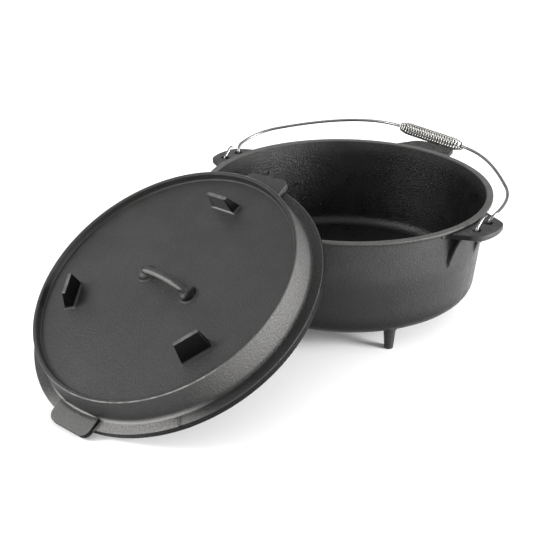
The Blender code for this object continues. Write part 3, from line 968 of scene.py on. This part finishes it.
def make_pot_iron(frame):
    """Dark outside, with painted shade inside and low down near the floor, and a ground rim."""
    iron = CastIron("cast_iron_pot", frame, 26.0, (0.010, 0.0098, 0.0095), (0.0155, 0.0152, 0.015))
    on_rim = iron.product(
        iron.spread(iron.z, RIM_TOP - 0.0016, RIM_TOP - 0.0004),
        iron.spread(iron.radius, INNER_RADIUS - 0.0025, INNER_RADIUS),
        iron.spread(iron.radius, RIM_RADIUS + 0.0012, RIM_RADIUS + 0.0002),
    )
    iron.paint(iron.product(on_rim, 0.75), GROUND_TONE)
    # Painted shade: the inside of the pot is painted darker than the outside.
    inside = iron.product(
        iron.spread(iron.radius, INNER_RADIUS - 0.0003, INNER_RADIUS - 0.0020),
        iron.spread(iron.z, LEG_HEIGHT + 0.002, LEG_HEIGHT + 0.004),
    )
    iron.paint(inside, INSIDE_SHADE_TONE)
    # Painted shade low on the outside, near the floor; there the iron also shines less.
    low = iron.product(
        iron.spread(iron.z, 0.056, 0.030),
        iron.spread(iron.radius, WALL_FOOT_RADIUS - 0.0051, WALL_FOOT_RADIUS - 0.0036),
    )
    iron.paint(iron.product(low, 0.8), SHADE_TONE)
    # Painted shade on the gussets, the ear's near side and under the rim; there the iron also shines less.
    shade = pot_shade(iron)
    iron.paint(iron.product(shade, 0.9), SHADE_TONE)
    on_lug = iron.product(
        iron.spread(iron.radius, RIM_RADIUS, RIM_RADIUS + 0.0015),
        iron.spread(iron.x, 0.10, 0.12),
    )
    black = iron.largest(shade, iron.product(low, 0.6), iron.product(on_lug, 0.9))
    rough = iron.math("SUBTRACT", iron.roughness(0.42, 0.54), iron.product(inside, 0.16))
    return iron.cast(black, 0.18, rough, 0.60)


def mark_crown(iron):
    """Paints a highlight on the sloping side of the lid where it faces the key lamp."""
    crown = iron.product(
        iron.spread(iron.radius, HOLLOW_RADIUS - 0.0005, HOLLOW_RADIUS + 0.0010),
        iron.spread(iron.z, FLANGE_THICKNESS + 0.0013, FLANGE_THICKNESS + 0.0033),
        iron.spread(iron.toward(-75), 0.085, 0.138),
    )
    iron.paint(crown, CROWN_HIGHLIGHT_TONE)


def mark_feet(iron):
    """Paints black shade on the feet's shaded faces, which it returns, and highlights on the far foot and
    top edges.
    """
    ring = iron.product(
        iron.spread(iron.radius, FOOT_INNER - 0.005, FOOT_INNER - 0.0025),
        iron.spread(iron.radius, FOOT_BASE_OUTER + 0.006, FOOT_BASE_OUTER + 0.004),
    )
    face = iron.product(
        ring,
        iron.spread(iron.z, DISC_TOP + 0.0012, DISC_TOP + 0.0028),
        iron.spread(iron.z, FOOT_TOP - 0.0003, FOOT_TOP - 0.0009),
        iron.largest(iron.spread(iron.x, 0.0, -0.01), iron.spread(iron.y, -0.0048, -0.0060)),
    )
    # Painted shade: the feet's faces turned from the lamps are painted black.
    iron.paint(iron.product(face, 0.95), SHADE_BLACK)
    # Painted light: the far foot's inner face is painted a lighter grey.
    inner_face = iron.product(
        ring,
        iron.spread(iron.x, 0.0, 0.05),
        iron.spread(iron.radius, FOOT_INNER + 0.0010, FOOT_INNER + 0.0004),
        iron.spread(iron.z, DISC_TOP + 0.0002, DISC_TOP + 0.0008),
    )
    iron.paint(inner_face, FOOT_INNER_LIGHT_TONE)
    # Painted highlight: a bright line along the base of that inner face.
    base_line = iron.product(inner_face, iron.spread(iron.z, DISC_TOP + 0.0024, DISC_TOP + 0.0016))
    iron.paint(base_line, FOOT_LINE_HIGHLIGHT_TONE)
    # Painted highlight along the feet's top edges, of uneven strength.
    top_edge = iron.spread(iron.z, FOOT_TOP - 0.0010, FOOT_TOP - 0.0003)
    iron.paint(iron.product(top_edge, 0.45, highlight_patches(iron)), EDGE_HIGHLIGHT_TONE)
    return face


def mark_flange(iron, facing):
    """Paints a highlight on the flange and its groove on the near side, and returns the flange's side,
    painted black as shade.
    """
    groove = iron.product(
        iron.spread(iron.radius, FLANGE_RADIUS - 0.0005, FLANGE_RADIUS - 0.0013),
        iron.spread(iron.z, 0.002, 0.003),
    )
    flat = iron.spread(iron.z, FLANGE_THICKNESS - 0.0009, FLANGE_THICKNESS - 0.0001)
    # Painted highlight: the flange's top and groove are lighter on the near side only.
    near_highlight = iron.product(
        iron.spread(iron.z, FLANGE_THICKNESS + 0.0023, FLANGE_THICKNESS + 0.0011),
        iron.largest(flat, groove),
        iron.spread(facing, 0.112, 0.150),
        iron.spread(iron.noise(650.0, 3.0), 0.36, 0.60, 0.5, 1.15),
    )
    iron.paint(near_highlight, FLANGE_HIGHLIGHT_TONE)
    # Painted shade: the flange's side is painted black all round.
    side = iron.product(
        iron.spread(iron.z, FLANGE_THICKNESS - 0.0003, FLANGE_THICKNESS - 0.0011),
        iron.spread(iron.radius, FLANGE_RADIUS - 0.0015, FLANGE_RADIUS - 0.0005),
    )
    iron.paint(iron.product(side, 0.95), SHADE_BLACK)
    return side


def mark_tabs(iron):
    """Paints a highlight on the near tab's top, and returns its sides, painted black as shade."""
    near_half = iron.spread(iron.x, 0.0, -0.05)
    # Painted highlight on the near tab's top.
    top = iron.product(
        iron.spread(iron.z, TAB_TOP - 0.0012, TAB_TOP - 0.0003),
        iron.spread(iron.z, TAB_TOP + 0.0006, TAB_TOP + 0.0002),
        iron.spread(iron.radius, 0.146, 0.150, 0.0, 0.5),
        near_half,
    )
    iron.paint(top, TAB_HIGHLIGHT_TONE)
    # Painted shade: the near tab's sides are painted black.
    above_flange = iron.product(
        iron.spread(iron.z, FLANGE_THICKNESS + 0.0001, FLANGE_THICKNESS + 0.0007),
        iron.spread(iron.radius, CROWN_FOOT_RADIUS + 0.0006, CROWN_FOOT_RADIUS + 0.0014),
    )
    past_flange = iron.spread(iron.radius, FLANGE_RADIUS + 0.0005, FLANGE_RADIUS + 0.0013)
    side = iron.product(
        iron.largest(above_flange, past_flange),
        iron.spread(iron.z, TAB_TOP - 0.0004, TAB_TOP - 0.0010),
        near_half,
    )
    iron.paint(iron.product(side, 0.95), SHADE_BLACK)
    return side


def mark_corner(iron, facing):
    """A painted highlight: a bright line where the lid's side meets the flange, on the near side."""
    off_corner = iron.math("SUBTRACT", iron.radius, CROWN_FOOT_RADIUS + 0.0005)
    line = iron.product(
        iron.spread(iron.math("ABSOLUTE", off_corner), 0.0013, 0.0005),
        iron.spread(iron.z, 0.0150, 0.0135),
        iron.spread(iron.z, 0.0058, 0.0070),
        iron.spread(facing, 0.105, 0.135),
    )
    iron.paint(line, CORNER_HIGHLIGHT_TONE)


def highlight_patches(iron):
    """Uneven strength of the painted edge highlights, from half to full."""
    return iron.spread(iron.noise(120.0, 4.0), 0.40, 0.62, 0.5, 1.0)


def mark_lip(iron):
    """Darkens the flat of the lip and paints a highlight on its outer edge at the near and far sides."""
    off_middle = iron.math("SUBTRACT", iron.radius, (LIP_TOP_RADIUS + LIP_INNER_RADIUS) / 2 + 0.0003)
    on_lip = iron.spread(iron.z, LIP_TOP - 0.0011, LIP_TOP - 0.0005)
    flat = iron.product(iron.spread(iron.math("ABSOLUTE", off_middle), 0.0012, 0.0007), on_lip)
    iron.paint(iron.product(flat, 0.6), LIP_TONE)
    # Painted highlight on the lip's outer edge, at the near and far sides only.
    highlight_sides = iron.largest(
        iron.spread(iron.toward(210), 0.100, 0.120),
        iron.spread(iron.toward(20), 0.118, 0.137),
    )
    edge = iron.product(iron.spread(off_middle, 0.0008, 0.0014), on_lip, highlight_sides, highlight_patches(iron))
    iron.paint(edge, EDGE_HIGHLIGHT_TONE)


def mark_handle(iron):
    """Paints a highlight on one side of the handle's top, and returns the painted black shade beside its
    boss on the -Y side.
    """
    by_handle = iron.spread(iron.radius, 0.048, 0.046)
    # Painted highlight along one side of the handle's top.
    ridge = iron.product(
        iron.spread(iron.x, -0.0012, -0.0024),
        iron.spread(iron.z, DISC_TOP + 0.0085, DISC_TOP + 0.0105),
        by_handle,
    )
    iron.paint(ridge, RIDGE_HIGHLIGHT_TONE)
    # Painted shade beside the boss on the -Y side.
    under_boss = iron.product(
        iron.spread(iron.y, HANDLE_ENDS[0] - 0.0002, HANDLE_ENDS[0] - 0.0052),
        iron.spread(iron.z, DISC_TOP + 0.0006, DISC_TOP + 0.0016),
        by_handle,
    )
    iron.paint(iron.product(under_boss, 0.9), SHADE_TONE)
    return under_boss


def make_lid_iron(frame):
    """Greyer than the pot, with painted highlights on the near side and painted black shade on faces
    turned from the lamps.
    """
    iron = CastIron("cast_iron_lid", frame, 22.0, (0.0165, 0.016, 0.0157), (0.0225, 0.022, 0.0217))
    facing = iron.toward(200)
    mark_crown(iron)
    foot_face = mark_feet(iron)
    flange_side = mark_flange(iron, facing)
    tab_side = mark_tabs(iron)
    mark_corner(iron, facing)
    mark_lip(iron)
    under_boss = mark_handle(iron)
    # Where shade is painted, the iron also shines less.
    sides = iron.product(iron.largest(flange_side, tab_side), 0.85)
    black = iron.largest(foot_face, sides, iron.product(under_boss, 0.9))
    grain_amount = iron.spread(iron.radius, 0.134, 0.139, 0.45, 0.95)
    return iron.cast(black, 0.12, iron.roughness(0.38, 0.50), grain_amount)


def make_bail_steel(frame):
    """Drawn steel wire with fine marks."""
    nodes = Nodes("drawn_steel", frame)
    marks = nodes.noise(500.0, 4.0, 0.6)
    patches = nodes.spread(nodes.noise(45.0, 3.0), 0.35, 0.7)
    return nodes.finish(
        {
            "Base Color": nodes.mix(patches, (0.17, 0.17, 0.175), (0.25, 0.25, 0.25)),
            "Roughness": nodes.spread(marks, 0.3, 0.7, 0.22, 0.34),
            "Specular Tint": (0.45, 0.45, 0.45),
            "Metallic": 1.0,
            "Normal": nodes.bump(marks, 0.12, 0.0002),
        }
    )


def make_grip_steel(frame, length):
    """Bright on the outside of the turns, with painted shade between them."""
    nodes = Nodes("coil_steel", frame)
    x, y, z = nodes.split()
    half = length / 2
    along = nodes.math("ABSOLUTE", x)
    barrel = nodes.spread(along, half - COIL_TAPER, half, COIL_RADIUS, COIL_END_RADIUS)
    out = nodes.math("SUBTRACT", nodes.distance(y, z), barrel)
    # Painted shade: away from the crests of the turns the wire is painted near black.
    crest = nodes.spread(out, COIL_WIRE_RADIUS * 0.25, COIL_WIRE_RADIUS * 0.70)
    marks = nodes.noise(800.0, 3.0, 0.6)
    patches = nodes.spread(nodes.noise(60.0, 3.0), 0.35, 0.7)
    tone = nodes.mix(patches, (0.40, 0.39, 0.36), (0.56, 0.545, 0.51))
    return nodes.finish(
        {
            "Base Color": nodes.mix(crest, (0.02, 0.0195, 0.018), tone),
            "Roughness": nodes.spread(marks, 0.3, 0.7, 0.20, 0.32),
            "Metallic": nodes.spread(crest, 0.0, 1.0, 0.2, 0.8),
            "Specular Tint": (0.45, 0.44, 0.42),
            "Normal": nodes.bump(marks, 0.12, 0.0002),
        }
    )


# ---------------------------------------------------------------- studio


def make_floor():
    """A white table that curves up into a white wall far behind the object."""
    bm = bmesh.new()
    line = [(-4.0, 0.0), *arc((4.5, 1.5), 1.5, -90, 0, 12), (6.0, 4.0)]
    rows = []
    for across in (-7.0, 7.0):
        rows.append([bm.verts.new((along, across, up)) for along, up in line])
    for index in range(len(line) - 1):
        bm.faces.new([rows[0][index], rows[0][index + 1], rows[1][index + 1], rows[1][index]])
    floor = make_object("studio_floor", bm, turn_z(FLOOR_TURN))
    floor.data.shade_smooth()
    nodes = Nodes("studio_white", Matrix.Identity(4))
    tone = nodes.mix(nodes.noise(3.0, 2.0), (0.93, 0.93, 0.93), (0.96, 0.96, 0.96))
    nodes.finish({"Base Color": tone, "Roughness": 0.9, "Specular IOR Level": 0.1})
    floor.data.materials.append(nodes.material)


def lamp_way(azimuth, elevation):
    """The way from the object to a lamp. Its azimuth runs from +X towards +Y."""
    turn = math.radians(azimuth)
    rise = math.radians(elevation)
    return Vector((math.cos(turn) * math.cos(rise), math.sin(turn) * math.cos(rise), math.sin(rise)))


def make_lamp(name, azimuth, elevation, size, power):
    """A rectangular soft lamp that faces the object."""
    light = bpy.data.lights.new(name, "AREA")
    light.shape = "RECTANGLE"
    light.size, light.size_y = size
    light.energy = power
    lamp = bpy.data.objects.new(name, light)
    bpy.context.scene.collection.objects.link(lamp)
    way = lamp_way(azimuth, elevation)
    place = way * LAMP_DISTANCE + Vector((0, 0, LAMP_HEIGHT))
    lamp.matrix_world = Matrix.Translation(place) @ turn_to(way, "Z", "Y")


def make_world():
    world = bpy.data.worlds.new("studio")
    world.use_nodes = True
    background = world.node_tree.nodes["Background"]
    background.inputs["Color"].default_value = (1.0, 1.0, 1.0, 1.0)
    background.inputs["Strength"].default_value = SKY_STRENGTH
    bpy.context.scene.world = world


def make_studio():
    make_world()
    make_floor()
    make_lamp("key_right", -66, 12, (0.9, 1.1), 115)
    make_lamp("fill_left", 148, 30, (0.7, 0.9), 36)
    bpy.context.scene.view_settings.view_transform = "Standard"


def make_camera():
    camera = bpy.data.cameras.new("camera")
    camera.lens = CAMERA_LENS
    camera.sensor_width = 36.0
    obj = bpy.data.objects.new("camera", camera)
    bpy.context.scene.collection.objects.link(obj)
    obj.matrix_world = Matrix.Translation(CAMERA_FROM) @ turn_to(CAMERA_WAY, "-Z", "Y")
    bpy.context.scene.camera = obj


# ---------------------------------------------------------------- scene


def joint_place(frame, name):
    """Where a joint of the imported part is."""
    return Vector(next(joint["pos_m"] for joint in frame["joints"] if joint["name"] == name))


def show(piece, material, node, body):
    """The piece stands for a CAD node, moves with its body and takes its finish from a slot."""
    piece.data.materials.clear()
    piece.data.materials.append(material)
    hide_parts(node)
    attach(piece, body)


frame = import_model()

hinge_frame = Matrix.Translation(joint_place(frame, "bail_swing")) @ turn_z(HINGE_ANGLE)
pot_frame = Matrix.Translation(hinge_frame @ Vector((0, -HINGE_SHIFT, -PIVOT_Z)))
tilt = Matrix.Rotation(math.radians(-LID_TILT), 4, "Y")
lid_frame = pot_frame @ Matrix.Translation(LID_CENTRE) @ tilt @ Matrix.Translation((0, 0, LID_GAP))
grip_from = on_bail_plane(*GRIP_ENDS[0])
grip_to = on_bail_plane(*GRIP_ENDS[1])
grip_length = (grip_to - grip_from).length
grip_middle = Matrix.Translation((grip_from + grip_to) / 2)
grip_frame = hinge_frame @ grip_middle @ turn_to(grip_to - grip_from, "X", "Z")

show(make_pot(pot_frame), make_pot_iron(pot_frame), "pot", "pot")
show(make_lid(lid_frame), make_lid_iron(lid_frame), "lid", "lid")
show(make_bail(hinge_frame), make_bail_steel(hinge_frame), "bail", "bail")
grip_steel = make_grip_steel(grip_frame, grip_length)
show(make_grip(grip_frame, grip_length), grip_steel, "grip_coil", "grip")

make_studio()
make_camera()
